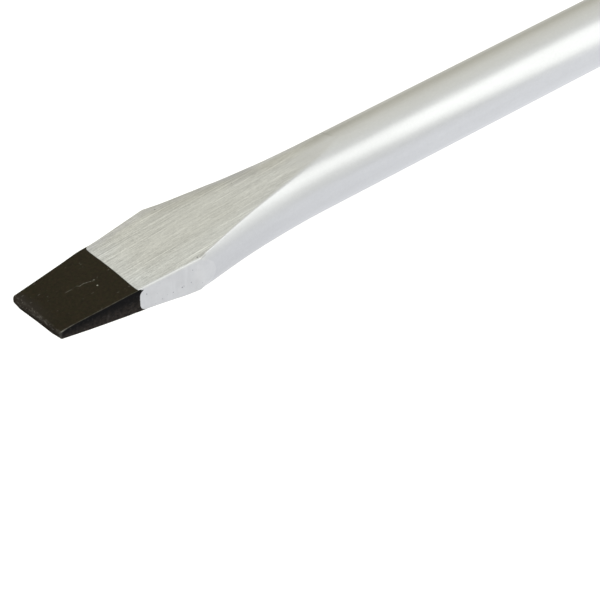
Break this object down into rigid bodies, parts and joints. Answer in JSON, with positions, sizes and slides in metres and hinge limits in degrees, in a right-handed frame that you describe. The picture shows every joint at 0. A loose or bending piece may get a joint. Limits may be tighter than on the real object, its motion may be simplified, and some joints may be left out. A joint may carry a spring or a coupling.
{
  "type": "flathead screwdriver",
  "caption": "Slotted screwdriver: round satin steel blade with flared flats and a blackened wedge tip, in a fluted soft-grip handle with anti-roll collar and hanging hole.",
  "frame": {"origin": "middle of the tip's working end, on the axis of the shank", "axes": "+X along the shank from the tip to the handle, +Z square to the flats of the blade, +Y across the flats"},
  "size_m": [0.295, 0.035, 0.0338],
  "materials": {
    "blade_steel": "satin plated shank, brushed flats, black oxide on the ground tip",
    "core_plastic": "fine moulded texture",
    "shell_plastic": "satin moulded",
    "soft_grip": "matte elastomer",
    "cap_plastic": "satin moulded",
    "marker_plastic": "semi-gloss moulded"
  },
  "bodies": {
    "root": {"blade": "blade_steel", "handle_core": "core_plastic", "hard_shell": "shell_plastic", "thumb_grip": "soft_grip", "palm_grip": "soft_grip", "end_cap": "cap_plastic", "type_marker": "marker_plastic"}
  },
  "joints": []
}
